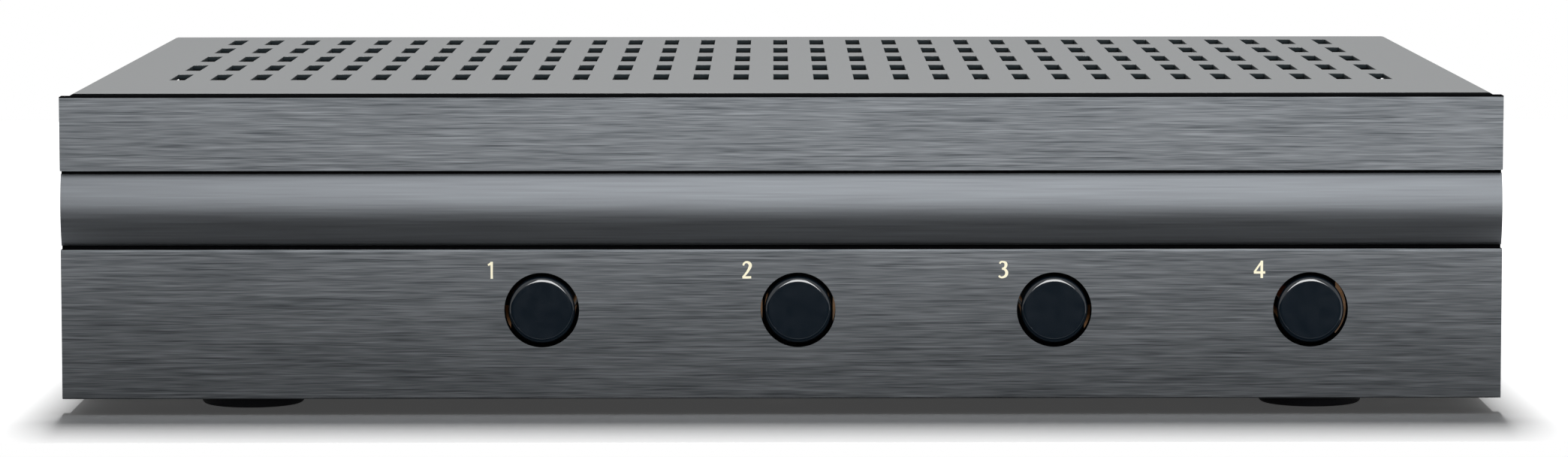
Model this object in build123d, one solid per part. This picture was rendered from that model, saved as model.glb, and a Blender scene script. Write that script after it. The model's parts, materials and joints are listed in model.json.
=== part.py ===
from build123d import *
import os

# Four-pair speaker selector switch: a low steel case behind an extruded aluminium front panel.
# Lengths are in millimetres. +Z is up, the front faces -Y, and +X is to the right seen from the front.
# The origin is on the floor, in the middle of the whole selector.

# ---------------------------------------------------------------- driving dimensions

# Front panel, an extrusion cut to length: two flats with a crowned band between two grooves.
PANEL_WIDTH = 281.0
PANEL_HEIGHT = 59.1
PANEL_THICKNESS = 4.0
LOWER_FLAT_HEIGHT = 29.25
BAND_HEIGHT = 14.0
GROOVE_WIDTH = 0.7
GROOVE_DEPTH = 2.6
BAND_CREST_DEPTH = 0.1
BAND_CROWN = 1.5
EDGE_BREAK = 0.25
PANEL_TAP_DEPTH = 2.6

# Push buttons, numbered from the left. A cap takes the switch's stem in the boss behind its face.
BUTTON_COUNT = 4
BUTTON_PITCH = 50.0
FIRST_BUTTON_X = -46.8
BUTTON_HEIGHT = 17.4
BUTTON_RADIUS = 6.5
BUTTON_HOLE_RADIUS = 7.3
BUTTON_PROUD = 0.6
BUTTON_TRAVEL = 3.5
CAP_LENGTH = 13.2
CAP_FACE_ROUND = 1.0
CAP_FACE_WALL = 2.2
CAP_WALL = 1.2
CAP_BOSS_RADIUS = 3.4
SOCKET_DEPTH = 9.6

# Steel case behind the panel.
CASE_DEPTH = 198.5
COVER_WIDTH = 278.8
COVER_TOP = 59.5
SHEET = 1.0
FOLD_INSIDE = 0.6
FIT_GAP = 0.1
TRAY_LIP = 9.0
TRAY_SIDE_FLANGE = 13.0
TRAY_CORNER_RELIEF = 3.0
TRAY_WALL_INSET = 0.5
FLANGE_HOLE_RADIUS = 8.5
WINDOW_GAP = 0.3

# Vent slots in the cover: their long sides run front to back.
SLOT_COLUMNS = 31
SLOT_ROWS = 5
SLOT_WIDTH = 3.1
SLOT_LENGTH = 18.5
SLOT_PITCH_X = 8.15
SLOT_PITCH_Y = 30.73
FIRST_SLOT_ROW = 54.0

# Rubber feet, recessed from below for their screws.
FOOT_RADIUS = 10.5
FOOT_HEIGHT = 3.0
FOOT_SPACING_X = 210.0
FOOT_INSET_Y = 20.0
FOOT_TAPER = 0.5
FOOT_RIM_ROUND = 1.0
FOOT_RECESS_RADIUS = 4.6
FOOT_RECESS_DEPTH = 1.6

# Pan-head screws, M3, and where each kind sits.
SCREW_RADIUS = 1.5
SCREW_HOLE_RADIUS = 1.7
SCREW_HEAD_RADIUS = 2.8
SCREW_HEAD_HEIGHT = 1.4
SCREW_TIP = 0.4
RECESS_LENGTH = 2.8
RECESS_WIDTH = 0.7
RECESS_DEPTH = 0.8
THREAD_GAP = 0.03
SHORT_SCREW = 5.0
BRACKET_SCREW = 6.0
PANEL_SCREW = 3.4
PANEL_SCREW_X = 125.0
PANEL_SCREW_HEIGHTS = (8.0, 51.5)
COVER_SCREW_DEPTHS = (45.0, 150.0)
COVER_SCREW_Z = 10.5
BOARD_SCREW_X = 122.0
BOARD_SCREW_FRONT = 19.0
BOARD_SCREW_REAR = 30.0

# Circuit board and the hexagonal standoffs that it rests on.
BOARD_WIDTH = 262.0
BOARD_THICKNESS = 1.6
BOARD_FRONT_GAP = 12.0
BOARD_REAR_GAP = 2.2
PIN_HOLE_RADIUS = 0.75
STANDOFF_HEIGHT = 5.0
STANDOFF_FLATS = 6.0
CLINCH_RADIUS = 2.1

# Push switches on the board, one behind each button.
SWITCH_SETBACK = 22.0
SWITCH_WIDTH = 14.0
SWITCH_LENGTH = 26.0
SWITCH_WALL = 2.0
SWITCH_CORNER = 0.8
SWITCH_PIN_X = 4.5
SWITCH_PIN_PITCH = 5.0
SWITCH_PIN_WIDTH = 0.9
SWITCH_PIN_THICKNESS = 0.5
SWITCH_PIN_BELOW = 2.0
STEM_WIDTH = 3.2
STEM_HEIGHT = 4.2
SLIDER_WIDTH = 9.0
SLIDER_HEIGHT = 12.6
SLIDER_LENGTH = 14.0
SLIDE_GAP = 0.15
SLIDER_END_GAP = 0.5
SPRING_SEAT = 1.2
SPRING_SEAT_WIDTH = 7.4
SPRING_RADIUS = 3.1
SPRING_WIRE_RADIUS = 0.28
SPRING_TURNS = 4.5

# Autoformers: the core's legs stand upright and the winding wraps the middle one.
CORE_WIDTH = 57.0
CORE_HEIGHT = 47.5
CORE_STACK = 28.0
CORE_LEG = 9.5
CORE_X = 72.0
CORE_SETBACK = 118.0
BOBBIN_REACH = 9.2
BOBBIN_GAP = 0.25
BOBBIN_WALL = 1.0
BOBBIN_CORNER = 2.0
WINDING_REACH = 8.8
WINDING_CORNER = 6.0
BRACKET_DEPTH = 20.0
BRACKET_SCREW_REACH = 6.5
BRACKET_FOOT_REACH = 12.0

# Tap leads of the autoformers.
LEAD_COUNT = 5
LEAD_RADIUS = 0.6
LEAD_BEND = 3.5
LEAD_BELOW_BOARD = 1.5
LEAD_RISE = 9.0
LEAD_STRAIGHT = 7.0
LEAD_ROW_X = {"left": -57.0, "right": 87.5}
LEAD_PAD_SETBACK = 9.0
LEAD_PAD_PITCH = 4.0
LEAD_COIL_PITCH = 5.0
LEAD_COIL_DROP = 5.0
LEAD_COIL_STEP = 2.5

# Impedance jumpers between the autoformers: a pin header and its shunt for each channel.
JUMPER_X = 20.0
JUMPER_GRID = 2.54
JUMPER_COLUMNS = 4
JUMPER_BASE = 2.5
JUMPER_PIN = 0.64
JUMPER_PIN_HEIGHT = 8.5
JUMPER_PIN_BELOW = 1.5
SHUNT_WIDTH = 2.4
SHUNT_LENGTH = 4.9
SHUNT_HEIGHT = 6.0
SHUNT_HOLE = 0.84
SHUNT_EDGE = 0.4

# Terminal blocks at the back: a fixed header on the board and a removable plug for each.
POLE_COUNT = 4
POLE_PITCH = 5.08
TERMINAL_PITCH = 44.0
HEADER_PROUD = 0.5
HEADER_SIDE = 1.3
HEADER_HEIGHT = 8.6
HEADER_LENGTH = 12.0
HEADER_WALL = 1.0
HEADER_CAVITY = 8.6
CONTACT = 1.0
CONTACT_REACH = 1.6
CONTACT_SETBACK = 1.3
CONTACT_BELOW = 1.4
PLUG_BODY_LENGTH = 10.5
PLUG_HEIGHT = 15.0
PLUG_LIFT = 0.3
PLUG_SHOULDER = 9.2
PLUG_SLOPE = 2.2
PLUG_EDGE = 0.8
FINGER_LENGTH = 8.3
FINGER_WIDTH = 4.5
FINGER_HEIGHT = 6.2
WIRE_ENTRY = 3.2
WIRE_ENTRY_DEPTH = 6.5
WIRE_ENTRY_RISE = 4.6
CLAMP_SCREW_RADIUS = 1.9
CLAMP_SCREW_HEIGHT = 3.4
CLAMP_SCREW_SETBACK = 4.4
CLAMP_SLOT_WIDTH = 0.7
CLAMP_SLOT_DEPTH = 1.0
CLAMP_WELL_GAP = 0.15
CLAMP_WELL_DEPTH = 5.5

# ---------------------------------------------------------------- planes that the pieces share

TOTAL_DEPTH = BUTTON_PROUD + CASE_DEPTH + HEADER_PROUD + PLUG_BODY_LENGTH
FACE_Y = BUTTON_PROUD - TOTAL_DEPTH / 2
FLANGE_Y = FACE_Y + PANEL_THICKNESS
CAP_REAR_Y = FACE_Y - BUTTON_PROUD + CAP_LENGTH
SWITCH_Y = FACE_Y + SWITCH_SETBACK
CORE_Y = FACE_Y + CORE_SETBACK
WINDING_FRONT_Y = CORE_Y - CORE_STACK / 2 - WINDING_REACH
REAR_Y = FACE_Y + CASE_DEPTH
MOUTH_Y = REAR_Y + HEADER_PROUD
HEADER_FRONT_Y = MOUTH_Y - HEADER_LENGTH
HEADER_PIN_Y = HEADER_FRONT_Y - CONTACT_SETBACK
CLAMP_SCREW_Y = MOUTH_Y + CLAMP_SCREW_SETBACK

FLOOR_Z = FOOT_HEIGHT + SHEET
COVER_TOP_Z = FOOT_HEIGHT + COVER_TOP
TRAY_TOP_Z = COVER_TOP_Z - SHEET - FIT_GAP
BOARD_Z = FLOOR_Z + STANDOFF_HEIGHT
BOARD_TOP_Z = BOARD_Z + BOARD_THICKNESS
AXIS_Z = FOOT_HEIGHT + BUTTON_HEIGHT
WINDOW_HEIGHT = CORE_HEIGHT - 2 * CORE_LEG
CONTACT_Z = BOARD_TOP_Z + HEADER_HEIGHT / 2
PLUG_BOTTOM_Z = BOARD_TOP_Z + PLUG_LIFT
PLUG_TOP_Z = PLUG_BOTTOM_Z + PLUG_HEIGHT
WELL_FLOOR_Z = PLUG_TOP_Z - CLAMP_WELL_DEPTH

TRAY_HALF_WIDTH = COVER_WIDTH / 2 - SHEET - FIT_GAP
PLUG_WIDTH = POLE_COUNT * POLE_PITCH
HEADER_WIDTH = PLUG_WIDTH + 2 * HEADER_SIDE

# ---------------------------------------------------------------- places of what repeats

SIDES = {"left": -1, "right": 1}
BUTTON_XS = [FIRST_BUTTON_X + BUTTON_PITCH * i for i in range(BUTTON_COUNT)]
TERMINALS = ["input", "output_1", "output_2", "output_3", "output_4"]
TERMINAL_XS = {name: TERMINAL_PITCH * (2 - i) for i, name in enumerate(TERMINALS)}
POLE_XS = [POLE_PITCH * (i - (POLE_COUNT - 1) / 2) for i in range(POLE_COUNT)]

FEET = {
    f"foot_{end}_{side}": (sign * FOOT_SPACING_X / 2, y)
    for end, y in (("front", FACE_Y + FOOT_INSET_Y), ("rear", REAR_Y - FOOT_INSET_Y))
    for side, sign in SIDES.items()
}
PANEL_SCREW_XZS = [
    (sign * PANEL_SCREW_X, FOOT_HEIGHT + z) for sign in SIDES.values() for z in PANEL_SCREW_HEIGHTS
]
COVER_SCREW_YS = [FACE_Y + depth for depth in COVER_SCREW_DEPTHS]
BOARD_SCREW_XYS = [
    (x, y)
    for x in (-BOARD_SCREW_X, 0, BOARD_SCREW_X)
    for y in (FACE_Y + BOARD_SCREW_FRONT, REAR_Y - BOARD_SCREW_REAR)
]
BRACKET_SCREW_XS = [sign * (CORE_WIDTH / 2 + BRACKET_SCREW_REACH) for sign in SIDES.values()]
AUTOFORMER_SCREW_XYS = [(sign * CORE_X + dx, CORE_Y) for sign in SIDES.values() for dx in BRACKET_SCREW_XS]

SWITCH_PIN_XYS = [
    (dx, SWITCH_Y + SWITCH_PIN_PITCH * (i + 1)) for dx in (-SWITCH_PIN_X, SWITCH_PIN_X) for i in range(4)
]
LEAD_PAD_XYS = {
    side: [(LEAD_ROW_X[side], SWITCH_Y + LEAD_PAD_SETBACK + LEAD_PAD_PITCH * i) for i in range(LEAD_COUNT)]
    for side in SIDES
}
JUMPER_YS = [CORE_Y - JUMPER_GRID / 2, CORE_Y + JUMPER_GRID / 2]
JUMPER_XS = [JUMPER_GRID * (column - (JUMPER_COLUMNS - 1) / 2) for column in range(JUMPER_COLUMNS)]
JUMPER_PIN_XYS = [(dx, y) for dx in JUMPER_XS for y in JUMPER_YS]

BASE = (Align.CENTER, Align.CENTER, Align.MIN)
HANGING = (Align.CENTER, Align.CENTER, Align.MAX)


def fuse(pieces):
    """Pieces joined into one shape, or kept together as separate solids where they don't touch."""
    return Part() + list(pieces)


def block(x, y, z):
    """Box between (low, high) pairs along X, Y and Z."""
    size = [high - low for low, high in (x, y, z)]
    return Pos(*[(low + high) / 2 for low, high in (x, y, z)]) * Box(*size)


def folded_sheet(corners, plane, length):
    """Folded steel strip: corners are its outside line, with the sheet to the line's left."""
    outside = FilletPolyline(*corners, radius=FOLD_INSIDE + SHEET)
    return extrude(plane * make_face(offset(outside, SHEET, side=Side.LEFT)), length)


def pan_screw(length):
    """Pan-head screw with a cross recess: the head stands on z = 0 and the shank points down."""
    head = Cylinder(SCREW_HEAD_RADIUS, SCREW_HEAD_HEIGHT, align=BASE)
    head = fillet(head.edges().group_by(Axis.Z)[-1], SCREW_HEAD_HEIGHT / 2)
    shank = Cylinder(SCREW_RADIUS, length, align=HANGING)
    shank = chamfer(shank.edges().group_by(Axis.Z)[0], SCREW_TIP)
    cross = [
        Box(RECESS_LENGTH, RECESS_WIDTH, RECESS_DEPTH, align=HANGING),
        Box(RECESS_WIDTH, RECESS_LENGTH, RECESS_DEPTH, align=HANGING),
    ]
    return head + shank - Pos(Z=SCREW_HEAD_HEIGHT) * fuse(cross)


# ---------------------------------------------------------------- case


def front_panel():
    """Extruded fascia: flats, grooves and the crowned band, with button and blind screw holes."""
    band_low = LOWER_FLAT_HEIGHT + GROOVE_WIDTH
    band_high = band_low + BAND_HEIGHT
    upper_low = band_high + GROOVE_WIDTH
    band_edge = BAND_CREST_DEPTH + BAND_CROWN
    lower_flat = Polyline(
        (PANEL_THICKNESS, 0),
        (EDGE_BREAK, 0),
        (0, EDGE_BREAK),
        (0, LOWER_FLAT_HEIGHT - EDGE_BREAK),
        (EDGE_BREAK, LOWER_FLAT_HEIGHT),
        (GROOVE_DEPTH, LOWER_FLAT_HEIGHT),
        (GROOVE_DEPTH, band_low),
        (band_edge, band_low),
    )
    band = SagittaArc((band_edge, band_low), (band_edge, band_high), BAND_CROWN)
    upper_flat = Polyline(
        (band_edge, band_high),
        (GROOVE_DEPTH, band_high),
        (GROOVE_DEPTH, upper_low),
        (EDGE_BREAK, upper_low),
        (0, upper_low + EDGE_BREAK),
        (0, PANEL_HEIGHT - EDGE_BREAK),
        (EDGE_BREAK, PANEL_HEIGHT),
        (PANEL_THICKNESS, PANEL_HEIGHT),
        (PANEL_THICKNESS, 0),
    )
    section = make_face(lower_flat + band + upper_flat)
    start = Plane(origin=(-PANEL_WIDTH / 2, FACE_Y, FOOT_HEIGHT), x_dir=(0, 1, 0), z_dir=(1, 0, 0))
    panel = extrude(start * section, PANEL_WIDTH)
    through = Cylinder(BUTTON_HOLE_RADIUS, 4 * PANEL_THICKNESS, rotation=(90, 0, 0))
    tapped = Cylinder(SCREW_RADIUS + THREAD_GAP, 2 * PANEL_TAP_DEPTH, rotation=(90, 0, 0))
    panel -= [Pos(x, FACE_Y, AXIS_Z) * through for x in BUTTON_XS]
    return panel - [Pos(x, FLANGE_Y, z) * tapped for x, z in PANEL_SCREW_XZS]


def chassis_tray():
    """Folded tray: base, front flange and rear wall with lips under the cover, low side flanges."""
    wall_half_width = TRAY_HALF_WIDTH - TRAY_WALL_INSET
    walls = folded_sheet(
        [
            (FLANGE_Y + TRAY_LIP, TRAY_TOP_Z),
            (FLANGE_Y, TRAY_TOP_Z),
            (FLANGE_Y, FOOT_HEIGHT),
            (REAR_Y, FOOT_HEIGHT),
            (REAR_Y, TRAY_TOP_Z),
            (REAR_Y - TRAY_LIP, TRAY_TOP_Z),
        ],
        Plane.YZ.offset(-wall_half_width),
        2 * wall_half_width,
    )
    side_front = FLANGE_Y + SHEET + TRAY_CORNER_RELIEF
    side_rear = REAR_Y - SHEET - TRAY_CORNER_RELIEF
    fold = FOLD_INSIDE + SHEET
    for sign in SIDES.values():
        edge = sorted([sign * (TRAY_HALF_WIDTH - fold), sign * COVER_WIDTH / 2])
        walls -= block(edge, (side_front, side_rear), (0, FLOOR_Z))
    side_flange_top = FOOT_HEIGHT + TRAY_SIDE_FLANGE
    sides = folded_sheet(
        [
            (-TRAY_HALF_WIDTH, side_flange_top),
            (-TRAY_HALF_WIDTH, FOOT_HEIGHT),
            (TRAY_HALF_WIDTH, FOOT_HEIGHT),
            (TRAY_HALF_WIDTH, side_flange_top),
        ],
        Plane.XZ.offset(-side_rear),
        side_rear - side_front,
    )

    standing = Cylinder(SCREW_HOLE_RADIUS, 4 * SHEET)
    clinched = Cylinder(CLINCH_RADIUS, 4 * SHEET)
    across = Cylinder(SCREW_RADIUS + THREAD_GAP, 8 * SHEET, rotation=(0, 90, 0))
    forward = Cylinder(SCREW_HOLE_RADIUS, 4 * SHEET, rotation=(90, 0, 0))
    button_way = Cylinder(FLANGE_HOLE_RADIUS, 4 * SHEET, rotation=(90, 0, 0))
    window = block(
        (-HEADER_WIDTH / 2 - WINDOW_GAP, HEADER_WIDTH / 2 + WINDOW_GAP),
        (REAR_Y - 2 * SHEET, REAR_Y + SHEET),
        (BOARD_TOP_Z - WINDOW_GAP, BOARD_TOP_Z + HEADER_HEIGHT + WINDOW_GAP),
    )
    cuts = [Pos(x, y, FOOT_HEIGHT) * standing for x, y in FEET.values()]
    cuts += [Pos(x, y, FOOT_HEIGHT) * clinched for x, y in BOARD_SCREW_XYS + AUTOFORMER_SCREW_XYS]
    cuts += [Pos(s * TRAY_HALF_WIDTH, y, COVER_SCREW_Z) * across for s in (-1, 1) for y in COVER_SCREW_YS]
    cuts += [Pos(x, FLANGE_Y, z) * forward for x, z in PANEL_SCREW_XZS]
    cuts += [Pos(x, FLANGE_Y, AXIS_Z) * button_way for x in BUTTON_XS]
    cuts += [Pos(X=x) * window for x in TERMINAL_XS.values()]
    return walls + sides - cuts


def top_cover():
    """Folded cover, a top and two sides, with the vent slots punched through the top."""
    half = COVER_WIDTH / 2
    corners = [(half, FOOT_HEIGHT), (half, COVER_TOP_Z), (-half, COVER_TOP_Z), (-half, FOOT_HEIGHT)]
    cover = folded_sheet(corners, Plane.XZ.offset(-REAR_Y), REAR_Y - FLANGE_Y)
    middle_row_y = FACE_Y + FIRST_SLOT_ROW + SLOT_PITCH_Y * (SLOT_ROWS - 1) / 2
    grid = GridLocations(SLOT_PITCH_X, SLOT_PITCH_Y, SLOT_COLUMNS, SLOT_ROWS)
    slots = Sketch() + list(grid * Rectangle(SLOT_WIDTH, SLOT_LENGTH))
    cover -= extrude(Pos(0, middle_row_y, COVER_TOP_Z - 2 * SHEET) * slots, 3 * SHEET)
    through = Cylinder(SCREW_HOLE_RADIUS, 4 * SHEET, rotation=(0, 90, 0))
    return cover - [Pos(x, y, COVER_SCREW_Z) * through for x in (-half, half) for y in COVER_SCREW_YS]


def foot():
    """Round rubber foot, recessed from below for its screw."""
    outline = Polyline(
        (SCREW_HOLE_RADIUS, FOOT_RECESS_DEPTH),
        (SCREW_HOLE_RADIUS, FOOT_HEIGHT),
        (FOOT_RADIUS, FOOT_HEIGHT),
        (FOOT_RADIUS - FOOT_TAPER, 0),
        (FOOT_RECESS_RADIUS, 0),
        (FOOT_RECESS_RADIUS, FOOT_RECESS_DEPTH),
        (SCREW_HOLE_RADIUS, FOOT_RECESS_DEPTH),
    )
    rubber = revolve(Plane.XZ * make_face(outline), Axis.Z)
    underside = rubber.edges().filter_by(GeomType.CIRCLE).group_by(Axis.Z)[0]
    return fillet(underside.sort_by(SortBy.RADIUS)[-1], FOOT_RIM_ROUND)


def foot_screws():
    screw = Pos(Z=FOOT_RECESS_DEPTH) * Rot(180, 0, 0) * pan_screw(SHORT_SCREW)
    return fuse(Pos(x, y) * screw for x, y in FEET.values())


def cover_screws():
    screw = Pos(Z=COVER_WIDTH / 2) * pan_screw(SHORT_SCREW)
    turns = [Rot(0, 90 * sign, 0) for sign in SIDES.values()]
    return fuse(Pos(0, y, COVER_SCREW_Z) * turn * screw for turn in turns for y in COVER_SCREW_YS)


def panel_screws():
    screw = Rot(-90, 0, 0) * pan_screw(PANEL_SCREW)
    return fuse(Pos(x, FLANGE_Y + SHEET, z) * screw for x, z in PANEL_SCREW_XZS)


# ---------------------------------------------------------------- circuit board


def circuit_board():
    """Board with its mounting holes and a hole for every pin and lead."""
    board = block(
        (-BOARD_WIDTH / 2, BOARD_WIDTH / 2),
        (FACE_Y + BOARD_FRONT_GAP, REAR_Y - BOARD_REAR_GAP),
        (BOARD_Z, BOARD_TOP_Z),
    )
    mounting = Cylinder(SCREW_HOLE_RADIUS, 4 * BOARD_THICKNESS)
    pin_hole = Cylinder(PIN_HOLE_RADIUS, 4 * BOARD_THICKNESS)
    pins = [(x + dx, y) for x in BUTTON_XS for dx, y in SWITCH_PIN_XYS]
    pins += [(x + dx, HEADER_PIN_Y) for x in TERMINAL_XS.values() for dx in POLE_XS]
    pins += [xy for side in SIDES for xy in LEAD_PAD_XYS[side]]
    pins += [(sign * JUMPER_X + dx, y) for sign in SIDES.values() for dx, y in JUMPER_PIN_XYS]
    holes = [Pos(x, y, BOARD_Z) * mounting for x, y in BOARD_SCREW_XYS + AUTOFORMER_SCREW_XYS]
    holes += [Pos(x, y, BOARD_Z) * pin_hole for x, y in pins]
    return board - holes


def board_standoffs():
    """Hexagonal threaded standoffs on the tray's floor, with their shanks clinched into the tray."""
    body = extrude(RegularPolygon(STANDOFF_FLATS / 2, 6, major_radius=False), STANDOFF_HEIGHT)
    shank = Cylinder(CLINCH_RADIUS - THREAD_GAP, SHEET, align=HANGING)
    thread = Cylinder(SCREW_RADIUS + THREAD_GAP, 4 * STANDOFF_HEIGHT)
    standoff = body + shank - thread
    return fuse(Pos(x, y, FLOOR_Z) * standoff for x, y in BOARD_SCREW_XYS + AUTOFORMER_SCREW_XYS)


def board_screws():
    return fuse(Pos(x, y, BOARD_TOP_Z) * pan_screw(SHORT_SCREW) for x, y in BOARD_SCREW_XYS)


# ---------------------------------------------------------------- push buttons and their switches


def button_cap():
    """Round cap, hollow behind, with a boss in the middle that holds the switch's stem."""
    cap = Cylinder(BUTTON_RADIUS, CAP_LENGTH, align=BASE)
    cap = fillet(cap.edges().group_by(Axis.Z)[-1], CAP_FACE_ROUND)
    hollow = Cylinder(BUTTON_RADIUS - CAP_WALL, CAP_LENGTH - CAP_FACE_WALL, align=BASE)
    hollow -= Cylinder(CAP_BOSS_RADIUS, CAP_LENGTH, align=BASE)
    socket = Box(STEM_WIDTH, STEM_HEIGHT, SOCKET_DEPTH, align=BASE)
    return Pos(0, CAP_REAR_Y, AXIS_Z) * Rot(90, 0, 0) * (cap - hollow - socket)


def switch_plunger():
    """Stem, spring seat and slider, moulded in one."""
    stem_half, stem_rise = STEM_WIDTH / 2, STEM_HEIGHT / 2
    seat_half = SPRING_SEAT_WIDTH / 2
    slider_half, slider_rise = SLIDER_WIDTH / 2, SLIDER_HEIGHT / 2
    slider_y = SWITCH_Y + SWITCH_WALL
    stem = block((-stem_half, stem_half), (CAP_REAR_Y - SOCKET_DEPTH, slider_y), (-stem_rise, stem_rise))
    seat = block((-seat_half, seat_half), (CAP_REAR_Y, CAP_REAR_Y + SPRING_SEAT), (-seat_half, seat_half))
    slider = block(
        (-slider_half, slider_half), (slider_y, slider_y + SLIDER_LENGTH), (-slider_rise, slider_rise)
    )
    return Pos(Z=AXIS_Z) * (stem + seat + slider)


def switch_housing():
    """Moulded switch body on the board, with the slider's chamber and the stem's way out in front."""
    half, top = SWITCH_WIDTH / 2, 2 * AXIS_Z - BOARD_TOP_Z
    body = block((-half, half), (SWITCH_Y, SWITCH_Y + SWITCH_LENGTH), (BOARD_TOP_Z, top))
    body = chamfer(body.edges().filter_by(Axis.Y), SWITCH_CORNER)
    chamber_half = SLIDER_WIDTH / 2 + SLIDE_GAP
    chamber_rise = SLIDER_HEIGHT / 2 + SLIDE_GAP
    chamber_front = SWITCH_Y + SWITCH_WALL
    chamber_rear = chamber_front + SLIDER_LENGTH + BUTTON_TRAVEL + SLIDER_END_GAP
    chamber = block(
        (-chamber_half, chamber_half),
        (chamber_front, chamber_rear),
        (AXIS_Z - chamber_rise, AXIS_Z + chamber_rise),
    )
    way_half = STEM_WIDTH / 2 + SLIDE_GAP
    way_rise = STEM_HEIGHT / 2 + SLIDE_GAP
    way = block(
        (-way_half, way_half), (SWITCH_Y - SWITCH_WALL, chamber_front), (AXIS_Z - way_rise, AXIS_Z + way_rise)
    )
    return body - chamber - way


def switch_spring():
    """Return spring around the stem, between the spring seat and the switch body."""
    front = CAP_REAR_Y + SPRING_SEAT + SPRING_WIRE_RADIUS
    length = SWITCH_Y - SPRING_WIRE_RADIUS - front
    coil = Helix(pitch=length / SPRING_TURNS, height=length, radius=SPRING_RADIUS)
    wire = sweep(Plane(coil @ 0, z_dir=coil % 0) * Circle(SPRING_WIRE_RADIUS), path=coil)
    return Pos(0, front, AXIS_Z) * Rot(-90, 0, 0) * wire


def switch_pins():
    """Flat solder pins under the four switches."""
    pin = Box(SWITCH_PIN_WIDTH, SWITCH_PIN_THICKNESS, BOARD_THICKNESS + SWITCH_PIN_BELOW, align=HANGING)
    return fuse(Pos(x + dx, y, BOARD_TOP_Z) * pin for x in BUTTON_XS for dx, y in SWITCH_PIN_XYS)


# ---------------------------------------------------------------- autoformers


def autoformer_core():
    """Stack of E and I laminations, standing on the board."""
    window = block(
        (CORE_LEG, CORE_WIDTH / 2 - CORE_LEG), (-CORE_STACK, CORE_STACK), (CORE_LEG, CORE_LEG + WINDOW_HEIGHT)
    )
    stack = Box(CORE_WIDTH, CORE_STACK, CORE_HEIGHT, align=BASE)
    stack = chamfer(stack.edges().filter_by(Axis.Y).group_by(Axis.Z)[-1], FOLD_INSIDE)
    return Pos(0, CORE_Y, BOARD_TOP_Z) * (stack - window - mirror(window, Plane.YZ))


def ring(reach, bore_gap, height, corner):
    """Rounded frame around the core's middle leg."""
    frame = RectangleRounded(2 * (CORE_LEG + reach), CORE_STACK + 2 * reach, corner)
    bore = Rectangle(2 * (CORE_LEG + bore_gap), CORE_STACK + 2 * bore_gap)
    return extrude(frame - bore, height)


def autoformer_bobbin():
    """Bobbin on the middle leg: a tube between two flanges."""
    height = WINDOW_HEIGHT - 2 * FIT_GAP
    flange = ring(BOBBIN_REACH, BOBBIN_GAP, BOBBIN_WALL, BOBBIN_CORNER)
    outside = BOBBIN_GAP + BOBBIN_WALL
    tube = extrude(
        Rectangle(2 * (CORE_LEG + outside), CORE_STACK + 2 * outside)
        - Rectangle(2 * (CORE_LEG + BOBBIN_GAP), CORE_STACK + 2 * BOBBIN_GAP),
        height,
    )
    bobbin = tube + flange + Pos(Z=height - BOBBIN_WALL) * flange
    return Pos(0, CORE_Y, BOARD_TOP_Z + CORE_LEG + FIT_GAP) * bobbin


def autoformer_winding():
    """Enamelled wire wound full between the bobbin's flanges."""
    height = WINDOW_HEIGHT - 2 * FIT_GAP - 2 * BOBBIN_WALL
    winding = ring(WINDING_REACH, BOBBIN_GAP + BOBBIN_WALL, height, WINDING_CORNER)
    return Pos(0, CORE_Y, BOARD_TOP_Z + CORE_LEG + FIT_GAP + BOBBIN_WALL) * winding


def autoformer_bracket():
    """Steel strap over the core, with a screwed foot on the board at each side."""
    foot_reach = CORE_WIDTH / 2 + BRACKET_FOOT_REACH
    outside = CORE_WIDTH / 2 + SHEET
    top = BOARD_TOP_Z + CORE_HEIGHT + SHEET
    strap = folded_sheet(
        [
            (foot_reach, BOARD_TOP_Z + SHEET),
            (outside, BOARD_TOP_Z + SHEET),
            (outside, top),
            (-outside, top),
            (-outside, BOARD_TOP_Z + SHEET),
            (-foot_reach, BOARD_TOP_Z + SHEET),
        ],
        Plane.XZ.offset(-CORE_Y - BRACKET_DEPTH / 2),
        BRACKET_DEPTH,
    )
    hole = Cylinder(SCREW_HOLE_RADIUS, 4 * SHEET)
    return strap - [Pos(x, CORE_Y, BOARD_TOP_Z) * hole for x in BRACKET_SCREW_XS]


def autoformer_screws():
    seat_z = BOARD_TOP_Z + SHEET
    return fuse(Pos(x, y, seat_z) * pan_screw(BRACKET_SCREW) for x, y in AUTOFORMER_SCREW_XYS)


def autoformer_leads():
    """Tap leads of both autoformers: up from the board, back to the coil and into its front."""
    leads = []
    for side, sign in SIDES.items():
        for i, (x, y) in enumerate(LEAD_PAD_XYS[side]):
            coil_x = sign * CORE_X + LEAD_COIL_PITCH * (i - (LEAD_COUNT - 1) / 2)
            coil_z = BOARD_TOP_Z + CORE_LEG + WINDOW_HEIGHT - LEAD_COIL_DROP - LEAD_COIL_STEP * i
            route = FilletPolyline(
                (x, y, BOARD_Z - LEAD_BELOW_BOARD),
                (x, y, BOARD_TOP_Z + LEAD_RISE),
                (coil_x, WINDING_FRONT_Y - LEAD_STRAIGHT, coil_z),
                (coil_x, WINDING_FRONT_Y, coil_z),
                radius=LEAD_BEND,
            )
            leads.append(sweep(Plane(route @ 0, z_dir=route % 0) * Circle(LEAD_RADIUS), path=route))
    return fuse(leads)


# ---------------------------------------------------------------- impedance jumpers


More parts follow.
